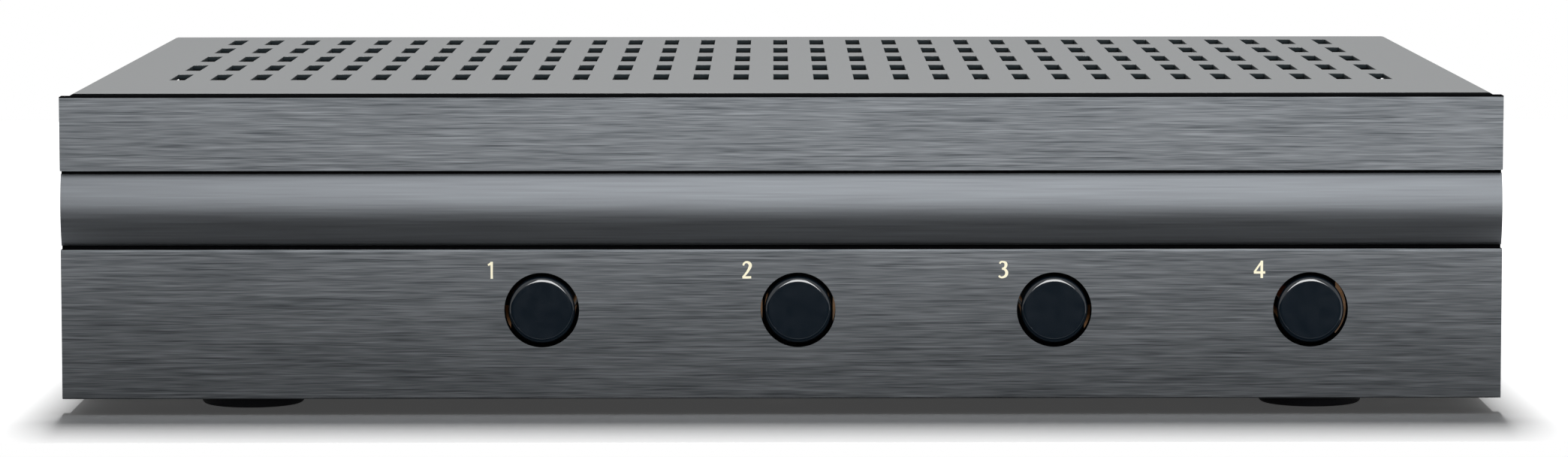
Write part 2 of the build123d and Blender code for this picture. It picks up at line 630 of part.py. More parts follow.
def jumper_headers():
    """Pin headers that set the impedance, one for each channel."""
    base = Box(JUMPER_COLUMNS * JUMPER_GRID, len(JUMPER_YS) * JUMPER_GRID, JUMPER_BASE, align=BASE)
    pin = Box(JUMPER_PIN, JUMPER_PIN, JUMPER_PIN_HEIGHT + BOARD_THICKNESS + JUMPER_PIN_BELOW, align=BASE)
    header = Pos(0, CORE_Y, BOARD_TOP_Z) * base
    header += [Pos(dx, y, BOARD_Z - JUMPER_PIN_BELOW) * pin for dx, y in JUMPER_PIN_XYS]
    return fuse(Pos(X=sign * JUMPER_X) * header for sign in SIDES.values())


def jumper_shunt():
    """Shunt pushed over two pins of one header."""
    shunt = Box(SHUNT_WIDTH, SHUNT_LENGTH, SHUNT_HEIGHT, align=BASE)
    shunt = Pos(0, CORE_Y) * chamfer(shunt.edges().group_by(Axis.Z)[-1], SHUNT_EDGE)
    shunt -= [Pos(0, y) * Box(SHUNT_HOLE, SHUNT_HOLE, 4 * SHUNT_HEIGHT) for y in JUMPER_YS]
    return Pos(JUMPER_GRID / 2, 0, BOARD_TOP_Z + JUMPER_BASE) * shunt


# ---------------------------------------------------------------- terminal headers and plugs


def terminal_header():
    """Moulded header on the board: a socket open to the back, with a square hole for each pin."""
    half = HEADER_WIDTH / 2
    body = block((-half, half), (HEADER_FRONT_Y, MOUTH_Y), (BOARD_TOP_Z, BOARD_TOP_Z + HEADER_HEIGHT))
    cavity = block(
        (-half + HEADER_WALL, half - HEADER_WALL),
        (MOUTH_Y - HEADER_CAVITY, MOUTH_Y + HEADER_WALL),
        (BOARD_TOP_Z + HEADER_WALL, BOARD_TOP_Z + HEADER_HEIGHT - HEADER_WALL),
    )
    hole = Box(CONTACT, 2 * HEADER_LENGTH, CONTACT)
    return body - cavity - [Pos(dx, HEADER_FRONT_Y, CONTACT_Z) * hole for dx in POLE_XS]


def header_pins():
    """Square pins, bent down into the board in front of every header."""
    half = CONTACT / 2
    level = block(
        (-half, half), (HEADER_PIN_Y - half, MOUTH_Y - CONTACT_REACH), (CONTACT_Z - half, CONTACT_Z + half)
    )
    upright = block(
        (-half, half), (HEADER_PIN_Y - half, HEADER_PIN_Y + half), (BOARD_Z - CONTACT_BELOW, CONTACT_Z + half)
    )
    pin = level + upright
    return fuse(Pos(X=x + dx) * pin for x in TERMINAL_XS.values() for dx in POLE_XS)


def terminal_plug():
    """Removable plug: a finger for each pole, wire entries at the back and screw wells on top."""
    half, rear_y = PLUG_WIDTH / 2, MOUTH_Y + PLUG_BODY_LENGTH
    side_view = Polyline(
        (MOUTH_Y, PLUG_BOTTOM_Z),
        (rear_y, PLUG_BOTTOM_Z),
        (rear_y, PLUG_BOTTOM_Z + PLUG_SHOULDER),
        (rear_y - PLUG_SLOPE, PLUG_TOP_Z - PLUG_EDGE),
        (rear_y - PLUG_SLOPE - PLUG_EDGE, PLUG_TOP_Z),
        (MOUTH_Y + PLUG_EDGE, PLUG_TOP_Z),
        (MOUTH_Y, PLUG_TOP_Z - PLUG_EDGE),
        (MOUTH_Y, PLUG_BOTTOM_Z),
    )
    plug = extrude(Plane.YZ.offset(-half) * make_face(side_view), PLUG_WIDTH)
    finger = block(
        (-FINGER_WIDTH / 2, FINGER_WIDTH / 2),
        (MOUTH_Y - FINGER_LENGTH, MOUTH_Y),
        (CONTACT_Z - FINGER_HEIGHT / 2, CONTACT_Z + FINGER_HEIGHT / 2),
    )
    finger -= Pos(0, MOUTH_Y - FINGER_LENGTH, CONTACT_Z) * Box(
        2 * CONTACT, 2 * (FINGER_LENGTH - CONTACT / 2), 2 * CONTACT
    )
    wire_entry = Box(WIRE_ENTRY, 2 * WIRE_ENTRY_DEPTH, WIRE_ENTRY)
    well = Cylinder(CLAMP_SCREW_RADIUS + CLAMP_WELL_GAP, 2 * CLAMP_WELL_DEPTH, align=BASE)
    plug += [Pos(X=dx) * finger for dx in POLE_XS]
    plug -= [Pos(dx, rear_y, PLUG_BOTTOM_Z + WIRE_ENTRY_RISE) * wire_entry for dx in POLE_XS]
    return plug - [Pos(dx, CLAMP_SCREW_Y, WELL_FLOOR_Z) * well for dx in POLE_XS]


def plug_screws():
    """Slotted clamp screws in the plug's wells."""
    screw = Cylinder(CLAMP_SCREW_RADIUS, CLAMP_SCREW_HEIGHT, align=BASE)
    slot = Box(4 * CLAMP_SCREW_RADIUS, CLAMP_SLOT_WIDTH, 2 * CLAMP_SLOT_DEPTH)
    screw -= Pos(Z=CLAMP_SCREW_HEIGHT) * slot
    return fuse(Pos(dx, CLAMP_SCREW_Y, WELL_FLOOR_Z) * screw for dx in POLE_XS)


# ---------------------------------------------------------------- the whole selector


def selector():
    """Every piece of the selector by name, each where it sits in the finished product."""
    pieces = {
        "front_panel": front_panel(),
        "chassis_tray": chassis_tray(),
        "top_cover": top_cover(),
        "foot_screws": foot_screws(),
        "cover_screws": cover_screws(),
        "panel_screws": panel_screws(),
        "circuit_board": circuit_board(),
        "board_standoffs": board_standoffs(),
        "board_screws": board_screws(),
        "switch_pins": switch_pins(),
        "autoformer_screws": autoformer_screws(),
        "autoformer_leads": autoformer_leads(),
        "jumper_headers": jumper_headers(),
        "header_pins": header_pins(),
    }
    rubber_foot = foot()
    for name, (x, y) in FEET.items():
        pieces[name] = Pos(x, y) * rubber_foot
    switch = {
        "button_cap": button_cap(),
        "switch_plunger": switch_plunger(),
        "switch_housing": switch_housing(),
        "switch_spring": switch_spring(),
    }
    for number, x in enumerate(BUTTON_XS, start=1):
        for name, piece in switch.items():
            pieces[f"{name}_{number}"] = Pos(X=x) * piece
    autoformer = {
        "autoformer_core": autoformer_core(),
        "autoformer_bobbin": autoformer_bobbin(),
        "autoformer_winding": autoformer_winding(),
        "autoformer_bracket": autoformer_bracket(),
    }
    for side, sign in SIDES.items():
        for name, piece in autoformer.items():
            pieces[f"{name}_{side}"] = Pos(X=sign * CORE_X) * piece
        pieces[f"jumper_shunt_{side}"] = Pos(X=sign * JUMPER_X) * jumper_shunt()
    terminal = {"header": terminal_header(), "plug": terminal_plug(), "plug_screws": plug_screws()}
    for block_name, x in TERMINAL_XS.items():
        for name, piece in terminal.items():
            pieces[f"{name}_{block_name}"] = Pos(X=x) * piece
    return pieces


os.makedirs("parts", exist_ok=True)
for node, shape in selector().items():
    export_step(shape, f"parts/{node}.step")
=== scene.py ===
import json
import math

import bmesh
import bpy
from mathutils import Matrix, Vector


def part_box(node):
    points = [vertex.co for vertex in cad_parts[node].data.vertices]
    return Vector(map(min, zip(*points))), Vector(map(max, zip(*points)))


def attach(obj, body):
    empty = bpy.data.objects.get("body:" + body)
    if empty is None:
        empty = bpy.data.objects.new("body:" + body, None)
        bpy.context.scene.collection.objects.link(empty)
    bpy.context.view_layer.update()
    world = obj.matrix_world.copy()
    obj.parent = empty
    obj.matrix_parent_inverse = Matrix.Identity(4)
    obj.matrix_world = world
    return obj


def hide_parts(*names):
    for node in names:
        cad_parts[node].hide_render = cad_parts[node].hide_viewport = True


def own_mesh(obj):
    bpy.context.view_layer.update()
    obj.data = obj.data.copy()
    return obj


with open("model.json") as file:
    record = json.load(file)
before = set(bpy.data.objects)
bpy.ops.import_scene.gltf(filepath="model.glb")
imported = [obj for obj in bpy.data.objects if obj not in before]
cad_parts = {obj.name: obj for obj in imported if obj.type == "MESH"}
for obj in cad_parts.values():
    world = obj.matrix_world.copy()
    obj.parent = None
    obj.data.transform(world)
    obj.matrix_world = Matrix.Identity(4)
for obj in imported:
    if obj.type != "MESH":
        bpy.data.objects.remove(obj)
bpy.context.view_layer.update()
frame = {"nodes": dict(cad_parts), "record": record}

# Lengths are in millimetres and become metres where a mesh or a pattern is made. Only the lamps and
# the camera are given in metres.
MM = 0.001

# ---------------------------------------------------------------- sizes shared with the solids

FOOT_HEIGHT = 3.0

PANEL_WIDTH = 281.0
PANEL_HEIGHT = 59.1
PANEL_THICKNESS = 4.0
LOWER_FLAT_HEIGHT = 29.25
BAND_HEIGHT = 14.0
BAND_CREST_DEPTH = 0.1
BAND_SAGITTA = 1.5
GROOVE_WIDTH = 0.7
GROOVE_DEPTH = 2.6
EDGE_BREAK = 0.25

BUTTON_XS = (-46.8, 3.2, 53.2, 103.2)
BUTTON_HEIGHT = 17.4
BUTTON_HOLE_RADIUS = 7.3

SHEET = 1.0
FOLD_INSIDE = 0.6
SLOT_COLUMNS = 31
SLOT_ROWS = 5
SLOT_WIDTH = 3.1
SLOT_LENGTH = 18.5
SLOT_PITCH_X = 8.15
SLOT_PITCH_Y = 30.73
FIRST_SLOT_ROW = 54.0


def extent(node):
    """Lowest and highest corner of a CAD node, in millimetres."""
    low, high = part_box(node)
    return Vector(low) / MM, Vector(high) / MM


FACE_Y = extent("front_panel")[0].y
FLANGE_Y = FACE_Y + PANEL_THICKNESS
REAR_Y = extent("top_cover")[1].y
COVER_HALF = extent("top_cover")[1].x
COVER_TOP_Z = extent("top_cover")[1].z
AXIS_Z = FOOT_HEIGHT + BUTTON_HEIGHT

# ---------------------------------------------------------------- meshes

# Edges that turn by more degrees than this are rounded.
SHARP_ANGLE = 30
# The weight at which the large flat faces alone decide how a rounded edge shades.
LARGE_FACES_ONLY = 100
# A face looks forward where the forward part of its normal is greater than this.
FORWARD = 0.3


def mesh_object(name, points, faces, solid=True):
    """Mesh object from points in millimetres. A solid's faces are all turned outward."""
    mesh = bpy.data.meshes.new(name)
    mesh.from_pydata([Vector(p) * MM for p in points], [], faces)
    if solid:
        shell = bmesh.new()
        shell.from_mesh(mesh)
        bmesh.ops.recalc_face_normals(shell, faces=shell.faces)
        shell.to_mesh(mesh)
        shell.free()
    made = bpy.data.objects.new(name, mesh)
    bpy.context.scene.collection.objects.link(made)
    return made


def new_piece(name, points, faces, slot, body="root", solid=True):
    """Piece of the selector that rides on a body. Its slot is not used."""
    piece = mesh_object(name, points, faces, solid)
    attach(piece, body)
    return piece


def modify(piece, kind, **settings):
    """Adds a modifier to the piece."""
    modifier = piece.modifiers.new(kind.title(), kind)
    for name, value in settings.items():
        setattr(modifier, name, value)


def apply_modifiers(piece):
    """Makes what the modifiers give the piece's own mesh."""
    shown = piece.evaluated_get(bpy.context.evaluated_depsgraph_get())
    mesh = bpy.data.meshes.new_from_object(shown)
    piece.modifiers.clear()
    piece.data = mesh


def combine(piece, tools, operation):
    """Cuts the tools out of the piece or joins them to it, and deletes them."""
    for tool in tools:
        modify(piece, "BOOLEAN", operation=operation, solver="EXACT", object=tool)
        apply_modifiers(piece)
        bpy.data.objects.remove(tool)


def round_edges(piece, width):
    """Small rounds on the sharp edges, with the flat faces kept flat to the light."""
    piece.data.shade_smooth()
    modify(
        piece,
        "BEVEL",
        width=width * MM,
        segments=2,
        limit_method="ANGLE",
        angle_limit=math.radians(SHARP_ANGLE),
    )
    modify(piece, "WEIGHTED_NORMAL", weight=LARGE_FACES_ONLY)


def prism(pairs):
    """Points and faces of a solid between two outlines, given as a list of point pairs."""
    count = len(pairs)
    points = [start for start, end in pairs] + [end for start, end in pairs]
    faces = [tuple(range(count))[::-1], tuple(range(count, 2 * count))]
    faces += [(i, (i + 1) % count, (i + 1) % count + count, i + count) for i in range(count)]
    return points, faces


def arc(centre, radius, start, end, steps):
    """Points on an arc, with its angles in degrees."""
    angles = [math.radians(start + (end - start) * i / steps) for i in range(steps + 1)]
    return [(centre[0] + radius * math.cos(a), centre[1] + radius * math.sin(a)) for a in angles]


# ---------------------------------------------------------------- fascia

# Fine forms that the solids leave out: the lip of the lower flat at its groove, the rounded top of
# the upper flat and the rounds on all edges.
GROOVE_LIP = 0.5
GROOVE_LIP_RADIUS = 0.8
FLAT_TOP_ROUND = 0.2
PANEL_EDGE_ROUND = 0.12

ROUND_STEPS = 6
CROWN_STEPS = 48
HOLE_SIDES = 96
# How far a hole's cutter reaches before and behind the face.
CUTTER_BEFORE = 5
CUTTER_BEHIND = 10

# Places of the fascia's finishes in its list of materials.
BRUSHED, DRAWN, MATT_AND_SHADE = range(3)


def fascia_section():
    """Outline of the extrusion as (behind the face, above its lower edge), and the heights of the
    crowned band's two edges."""
    band_low = LOWER_FLAT_HEIGHT + GROOVE_WIDTH
    band_high = band_low + BAND_HEIGHT
    upper_low = band_high + GROOVE_WIDTH

    lip_turn = math.degrees(math.asin(GROOVE_LIP / GROOVE_LIP_RADIUS))
    lip_centre = (GROOVE_LIP_RADIUS, LOWER_FLAT_HEIGHT - GROOVE_LIP)
    lower = [(PANEL_THICKNESS, 0), (EDGE_BREAK, 0), (0, EDGE_BREAK)]
    lower += arc(lip_centre, GROOVE_LIP_RADIUS, 180, 180 - lip_turn, ROUND_STEPS)
    lower += [(GROOVE_DEPTH, LOWER_FLAT_HEIGHT), (GROOVE_DEPTH, band_low)]

    radius = ((BAND_HEIGHT / 2) ** 2 + BAND_SAGITTA**2) / (2 * BAND_SAGITTA)
    reach = math.degrees(math.asin(BAND_HEIGHT / 2 / radius))
    centre = (BAND_CREST_DEPTH + radius, band_low + BAND_HEIGHT / 2)
    band = arc(centre, radius, 180 + reach, 180 - reach, CROWN_STEPS)

    top_centre = (FLAT_TOP_ROUND, PANEL_HEIGHT - FLAT_TOP_ROUND)
    upper = [(GROOVE_DEPTH, band_high), (GROOVE_DEPTH, upper_low), (0, upper_low)]
    upper += arc(top_centre, FLAT_TOP_ROUND, 180, 90, ROUND_STEPS)
    upper.append((PANEL_THICKNESS, PANEL_HEIGHT))
    return lower + band + upper, (band_low, band_high)


def fascia():
    """Extruded panel with four holes, and a finish for each of its faces."""
    section, (band_low, band_high) = fascia_section()
    line = [(FACE_Y + back, FOOT_HEIGHT + up) for back, up in section]
    ends = [((-PANEL_WIDTH / 2, y, z), (PANEL_WIDTH / 2, y, z)) for y, z in line]
    panel = new_piece("fascia", *prism(ends), slot="fascia_anodised")
    cutters = []
    for x in BUTTON_XS:
        circle = arc((x, AXIS_Z), BUTTON_HOLE_RADIUS, 0, 360, HOLE_SIDES)[:-1]
        ends = [((u, FACE_Y - CUTTER_BEFORE, v), (u, FACE_Y + CUTTER_BEHIND, v)) for u, v in circle]
        cutters.append(mesh_object("hole", *prism(ends)))
    combine(panel, cutters, "DIFFERENCE")
    # Forward faces on the band and flats get the drawn or brushed finish. All others, the grooves,
    # hole walls and top edge among them, get the near-black matt finish, which paints their shade.
    for face in panel.data.polygons:
        up = face.center.z / MM - FOOT_HEIGHT
        back = face.center.y / MM - FACE_Y
        looks_forward = -face.normal.y > FORWARD
        if looks_forward and band_low < up < band_high:
            face.material_index = DRAWN
        elif looks_forward and back < FLAT_TOP_ROUND and up < PANEL_HEIGHT - FLAT_TOP_ROUND:
            face.material_index = BRUSHED
        else:
            face.material_index = MATT_AND_SHADE
    round_edges(panel, PANEL_EDGE_ROUND)
    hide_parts("front_panel")
    return panel


# Strokes of the four numerals: (across, up, width) along each stroke, in millimetres from the
# numeral's foot, which is above and left of its button.
NUMERALS = {
    "1": [
        [(0.28, 0.0, 0.62), (0.28, 0.2, 0.46), (0.28, 1.7, 0.44), (0.28, 3.33, 0.5)],
        [(-0.45, 2.69, 0.38), (-0.1, 2.85, 0.4), (0.25, 3.15, 0.4)],
    ],
    "2": [
        [
            (-0.66, 2.55, 0.36), (-0.5, 2.98, 0.38), (-0.05, 3.22, 0.42), (0.5, 3.0, 0.56),
            (0.7, 2.46, 0.62), (0.25, 1.5, 0.48), (-0.35, 0.68, 0.42), (-0.75, 0.24, 0.42),
        ],
        [(-0.85, 0.22, 0.44), (0.0, 0.22, 0.46), (0.88, 0.24, 0.44)],
    ],
    "3": [
        [
            (-0.66, 2.86, 0.34), (-0.46, 3.16, 0.36), (-0.05, 3.24, 0.34), (0.45, 3.02, 0.52),
            (0.56, 2.6, 0.58), (0.36, 2.1, 0.46), (-0.22, 1.87, 0.32),
        ],
        [
            (-0.22, 1.87, 0.32), (0.4, 1.68, 0.46), (0.7, 1.12, 0.6), (0.5, 0.5, 0.54),
            (-0.05, 0.2, 0.4), (-0.5, 0.22, 0.36), (-0.82, 0.5, 0.38),
        ],
    ],
    "4": [
        [(0.45, 0.0, 0.5), (0.45, 1.7, 0.5), (0.45, 3.4, 0.5)],
        [(-1.1, 1.09, 0.46), (0.0, 1.09, 0.48), (1.13, 1.09, 0.48)],
        [(0.46, 3.22, 0.42), (-0.27, 2.2, 0.38), (-1.0, 1.12, 0.4)],
    ],
}
# Where a numeral's foot is, left of its button's axis and above it.
NUMERAL_LEFT = 10.0
NUMERAL_FOOT = 6.15
# The layer of ink, and how much of it is in the metal.
NUMERAL_THICKNESS = 0.03
NUMERAL_SINK = 0.02
# Each stroke of a numeral goes this much deeper than the last, so that no two of their backs lie in
# one plane.
STROKE_STAGGER = 0.0005
STEPS_BETWEEN_KNOTS = 8


def curve_point(before, start, end, after, t):
    """Point from start to end, as t goes from 0 to 1, on a smooth curve through all four knots."""
    return 0.5 * (
        2 * start
        + (end - before) * t
        + (2 * before - 5 * start + 4 * end - after) * t**2
        + (3 * start - before - 3 * end + after) * t**3
    )


def stroke_outline(knots):
    """Ribbon along a smooth line through the knots, as (across, up) points."""
    line = []
    for i in range(len(knots) - 1):
        around = (knots[max(i - 1, 0)], knots[i], knots[i + 1], knots[min(i + 2, len(knots) - 1)])
        for step in range(STEPS_BETWEEN_KNOTS):
            line.append(curve_point(*map(Vector, around), step / STEPS_BETWEEN_KNOTS))
    line.append(Vector(knots[-1]))
    left, right = [], []
    for i, point in enumerate(line):
        ahead = (line[min(i + 1, len(line) - 1)] - line[max(i - 1, 0)]).xy.normalized()
        side = Vector((-ahead.y, ahead.x)) * point.z / 2
        left.append(point.xy + side)
        right.append(point.xy - side)
    return left + right[::-1]


def numeral(digit, x):
    """Printed numeral: a thin layer of ink on the face."""
    foot_x, foot_z = x - NUMERAL_LEFT, AXIS_Z + NUMERAL_FOOT
    front_y = FACE_Y - NUMERAL_THICKNESS + NUMERAL_SINK
    layers = []
    for number, knots in enumerate(NUMERALS[digit]):
        back_y = FACE_Y + NUMERAL_SINK + STROKE_STAGGER * number
        outline = [(foot_x + p.x, foot_z + p.y) for p in stroke_outline(knots)]
        layers.append(prism([((u, front_y, v), (u, back_y, v)) for u, v in outline]))
    piece = new_piece(f"numeral_{digit}", *layers[0], slot="fascia_anodised")
    combine(piece, [mesh_object("stroke", *layer) for layer in layers[1:]], "UNION")
    return piece


# ---------------------------------------------------------------- cover

SHEET_EDGE_ROUND = 0.12
FOLD_STEPS = 10
# How far behind the flange's plane the middle of a face on the cut front edge may be.
FRONT_EDGE_REACH = 0.1

# Places of the cover's finishes in its list of materials.
COATED, THIN_COAT_AND_SHADE = range(2)


def cover_stations():
    """Outside line of the folded cover as (x, z), from its right-hand lower edge over the top to
    the left-hand one, and the place in it where the slots' sides begin."""
    fold = SHEET + FOLD_INSIDE
    fold_z, fold_x = COVER_TOP_Z - fold, COVER_HALF - fold
    slot_sides = []
    for column in range(SLOT_COLUMNS):
        middle = SLOT_PITCH_X * (column - (SLOT_COLUMNS - 1) / 2)
        slot_sides += [middle + SLOT_WIDTH / 2, middle - SLOT_WIDTH / 2]
    slot_sides.sort(reverse=True)
    right = [(COVER_HALF, FOOT_HEIGHT)] + arc((fold_x, fold_z), fold, 0, 90, FOLD_STEPS)
    left = arc((-fold_x, fold_z), fold, 90, 180, FOLD_STEPS) + [(-COVER_HALF, FOOT_HEIGHT)]
    top = [(x, COVER_TOP_Z) for x in slot_sides]
    return right + top + left, len(right)


def cover():
    """Folded and slotted cover: its outside, without the slots, made as thick as the sheet."""
    stations, first_slot = cover_stations()
    rows = [FLANGE_Y]
    for row in range(SLOT_ROWS):
        middle = FACE_Y + FIRST_SLOT_ROW + SLOT_PITCH_Y * row
        rows += [middle - SLOT_LENGTH / 2, middle + SLOT_LENGTH / 2]
    rows.append(REAR_Y)
    points = [(x, y, z) for x, z in stations for y in rows]
    count = len(rows)
    last_slot = first_slot + 2 * SLOT_COLUMNS
    faces = []
    for i in range(len(stations) - 1):
        for j in range(count - 1):
            in_column = first_slot <= i < last_slot and (i - first_slot) % 2 == 0
            in_row = j % 2 == 1
            if not (in_column and in_row):
                corner = i * count + j
                faces.append((corner, corner + 1, corner + count + 1, corner + count))
    lid = new_piece("cover", points, faces, slot="case_paint", solid=False)
    modify(lid, "SOLIDIFY", thickness=SHEET * MM, offset=-1, use_even_offset=True)
    apply_modifiers(lid)
    # The cut front edge gets the thin coat, darker and duller than the rest: painted shade along
    # the edge.
    for face in lid.data.polygons:
        at_front = face.center.y / MM < FLANGE_Y + FRONT_EDGE_REACH
        cut_edge = at_front and -face.normal.y > FORWARD
        face.material_index = THIN_COAT_AND_SHADE if cut_edge else COATED
    round_edges(lid, SHEET_EDGE_ROUND)
    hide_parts("top_cover")
    return lid


# ---------------------------------------------------------------- return springs

SPRING_RADIUS = 3.1
SPRING_WIRE_RADIUS = 0.28
SPRING_TURNS = 4.5
STEPS_IN_TURN = 28
WIRE_SIDES = 10


def spring(number, x):
    """Coil of round wire, as long as the switch spring of the CAD model."""
    low, high = extent(f"switch_spring_{number}")
    length = high.y - low.y
    run = length - 2 * SPRING_WIRE_RADIUS
    climb = run / (2 * math.pi * SPRING_TURNS)
    steps = int(SPRING_TURNS * STEPS_IN_TURN)
    points = []
    for i in range(steps + 1):
        angle = 2 * math.pi * i / STEPS_IN_TURN
        outward = Vector((math.cos(angle), 0, math.sin(angle)))
        on_axis = Vector((x, low.y + SPRING_WIRE_RADIUS + run * i / steps, AXIS_Z))
        centre = on_axis + outward * SPRING_RADIUS
        along = Vector((-math.sin(angle) * SPRING_RADIUS, climb, math.cos(angle) * SPRING_RADIUS))
        across = along.normalized().cross(outward)
        for k in range(WIRE_SIDES):
            turn = 2 * math.pi * k / WIRE_SIDES
            side = outward * math.cos(turn) + across * math.sin(turn)
            points.append(centre + side * SPRING_WIRE_RADIUS)
    faces = []
    for i in range(steps):
        ring, next_ring = i * WIRE_SIDES, (i + 1) * WIRE_SIDES
        for k in range(WIRE_SIDES):
            beside = (k + 1) % WIRE_SIDES
            faces.append((ring + k, ring + beside, next_ring + beside, next_ring + k))
    last_ring = steps * WIRE_SIDES
    faces += [tuple(range(WIRE_SIDES))[::-1], tuple(range(last_ring, last_ring + WIRE_SIDES))]
    coil = new_piece(f"return_spring_{number}", points, faces, slot="spring_steel")
    coil.data.shade_smooth()
    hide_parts(f"switch_spring_{number}")
    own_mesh(coil)
    return coil


# ---------------------------------------------------------------- finishes

# A noise keeps mostly to this part of its range from 0 to 1.
NOISE_LOW = 0.25
NOISE_HIGH = 0.75
# How far apart in the noise the runs of two neighbouring strokes can be.
STROKE_SHIFT = 500.0


def linear(hex_code):
    """Linear colour of an sRGB hex value."""
    values = [int(hex_code[i : i + 2], 16) / 255 for i in (1, 3, 5)]
    colour = [v / 12.92 if v <= 0.04045 else ((v + 0.055) / 1.055) ** 2.4 for v in values]
    return (*colour, 1.0)


def add(tree, kind, sockets=None, **settings):
    """Adds a node: settings are its properties, and sockets are its inputs, each a value or another
    node's output."""
    node = tree.nodes.new(kind)
    for name, value in settings.items():
        setattr(node, name, value)
    for name, value in (sockets or {}).items():
        if isinstance(value, bpy.types.NodeSocket):
            tree.links.new(value, node.inputs[name])
        else:
            node.inputs[name].default_value = value
    return node


def new_finish(name, **constants):
    """Material with one Principled shader, whose constants are set on its own sockets."""
    material = bpy.data.materials.new(name)
    material.use_nodes = True
    tree = material.node_tree
    shader = tree.nodes["Principled BSDF"]
    for socket, value in constants.items():
        shader.inputs[socket.replace("_", " ")].default_value = value
    return material, tree, shader


def grain(tree, size, detail=2.0):
    """Soft noise whose cells have a size in millimetres along X, Y and Z."""
    place = add(tree, "ShaderNodeTexCoord").outputs["Object"]
    scale = [1 / (s * MM) for s in size]
    scaled = add(tree, "ShaderNodeVectorMath", {0: place, 1: scale}, operation="MULTIPLY")
    sockets = {"Vector": scaled.outputs[0], "Scale": 1.0, "Detail": detail}
    return add(tree, "ShaderNodeTexNoise", sockets).outputs[0]


def strokes(tree, length, width):
    """Straight fine strokes along X, with a length and a width in millimetres: one row beside the
    other, each with its own run of light and dark."""
    place = add(tree, "ShaderNodeTexCoord").outputs["Object"]
    axes = add(tree, "ShaderNodeSeparateXYZ", {0: place}).outputs
    row = add(tree, "ShaderNodeMath", {0: axes["Z"], 1: width * MM}, operation="DIVIDE").outputs[0]
    row = add(tree, "ShaderNodeMath", {0: row}, operation="FLOOR").outputs[0]
    start = add(tree, "ShaderNodeTexWhiteNoise", {"W": row}, noise_dimensions="1D")
    sockets = {0: start.outputs["Value"], 1: STROKE_SHIFT}
    start = add(tree, "ShaderNodeMath", sockets, operation="MULTIPLY")
    sockets = {0: axes["X"], 1: 1 / (length * MM), 2: start.outputs[0]}
    along = add(tree, "ShaderNodeMath", sockets, operation="MULTIPLY_ADD")
    sockets = {"W": along.outputs[0], "Scale": 1.0, "Detail": 1.0}
    return add(tree, "ShaderNodeTexNoise", sockets, noise_dimensions="1D").outputs[0]


def spread(tree, noise, low=0.0, high=1.0):
    """Number from low to high as the noise goes through the part of its range that it keeps to."""
    sockets = {0: noise, 1: NOISE_LOW, 2: NOISE_HIGH, 3: low, 4: high}
    return add(tree, "ShaderNodeMapRange", sockets).outputs[0]


def tint(tree, shader, factor, dark, light):
    """Colours the surface from dark to light, which are hex values."""
    sockets = {0: factor, 6: linear(dark), 7: linear(light)}
    colour = add(tree, "ShaderNodeMix", sockets, data_type="RGBA").outputs[2]
    tree.links.new(colour, shader.inputs["Base Color"])


def roughen(tree, shader, noise, low, high):
    """Makes the surface rougher and smoother with the noise."""
    tree.links.new(spread(tree, noise, low, high), shader.inputs["Roughness"])


def relief(tree, shader, height, depth):
    """Lifts the surface with the height, as a bump of a depth in millimetres."""
    bump = add(tree, "ShaderNodeBump", {"Height": height, "Distance": depth * MM})
    tree.links.new(bump.outputs[0], shader.inputs["Normal"])


def lengthways(tree, shader):
    """Turns an anisotropic shine to run along X."""
    tangent = add(tree, "ShaderNodeTangent", direction_type="RADIAL", axis="X")
    tree.links.new(tangent.outputs[0], shader.inputs["Tangent"])


def brushed_anodised_aluminium():
    """Aluminium brushed lengthways, then anodised dark grey. The brush leaves straight scratches a
    few millimetres long, so each line is a little lighter or darker and a reflection spreads up and
    down. Real scratches are some 0.02 mm wide; these are as coarse as they need to be to show."""
    constants = {"Metallic": 1.0, "Anisotropic": 0.8}
    material, tree, shader = new_finish("brushed_anodised_aluminium", **constants)
    lengthways(tree, shader)
    fine = strokes(tree, length=9.0, width=0.16)
    long = strokes(tree, length=40.0, width=0.31)
    both = add(tree, "ShaderNodeMath", {0: fine, 1: long}, operation="ADD").outputs[0]
    streak = add(tree, "ShaderNodeMath", {0: both, 1: 0.5}, operation="MULTIPLY").outputs[0]
    tint(tree, shader, spread(tree, streak), "#505458", "#919599")
    roughen(tree, shader, streak, 0.41, 0.46)
    return material


def drawn_anodised_aluminium():
    """The same metal left as the die drew it on the crowned band: smooth and satin, with faint
    lines along it, drawn wider than real ones so that they show."""
    constants = {"Metallic": 1.0, "Anisotropic": 0.5}
    material, tree, shader = new_finish("drawn_anodised_aluminium", **constants)
    lengthways(tree, shader)
    lines = strokes(tree, length=30.0, width=0.3)
    tint(tree, shader, spread(tree, lines), "#6D7074", "#787C80")
    roughen(tree, shader, lines, 0.33, 0.35)
    return material


def matt_anodised_and_painted_shade():
    """The same metal on its edges and back, in the grooves and round the holes, where no brush
    reaches: etched matt, near black and without any shine. In the grooves and round the holes this
    black is painted shade, and along the top edge it is a painted dark reflection."""
    material, tree, shader = new_finish("matt_anodised_and_painted_shade", Specular_IOR_Level=0.0)
    patch = grain(tree, (1.0, 0.5, 0.5))
    tint(tree, shader, patch, "#060607", "#0D0E0F")
    roughen(tree, shader, patch, 0.6, 0.7)
    return material


def gold_ink():
    """Screen-printed pale gold ink: opaque, slightly glossy, with the screen's faint unevenness."""
    material, tree, shader = new_finish("pale_gold_ink", Roughness=0.45)
    tint(tree, shader, grain(tree, (0.2, 0.2, 0.2)), "#FFF4D0", "#FFFBE4")
    return material


def powder_coat():
    """Black epoxy powder coat on steel, half gloss, with the orange peel that baking leaves."""
    material, tree, shader = new_finish("black_powder_coat", Roughness=0.38)
    peel = grain(tree, (0.9, 0.9, 0.9))
    tint(tree, shader, peel, "#10191C", "#161F23")
    relief(tree, shader, peel, 0.02)
    return material


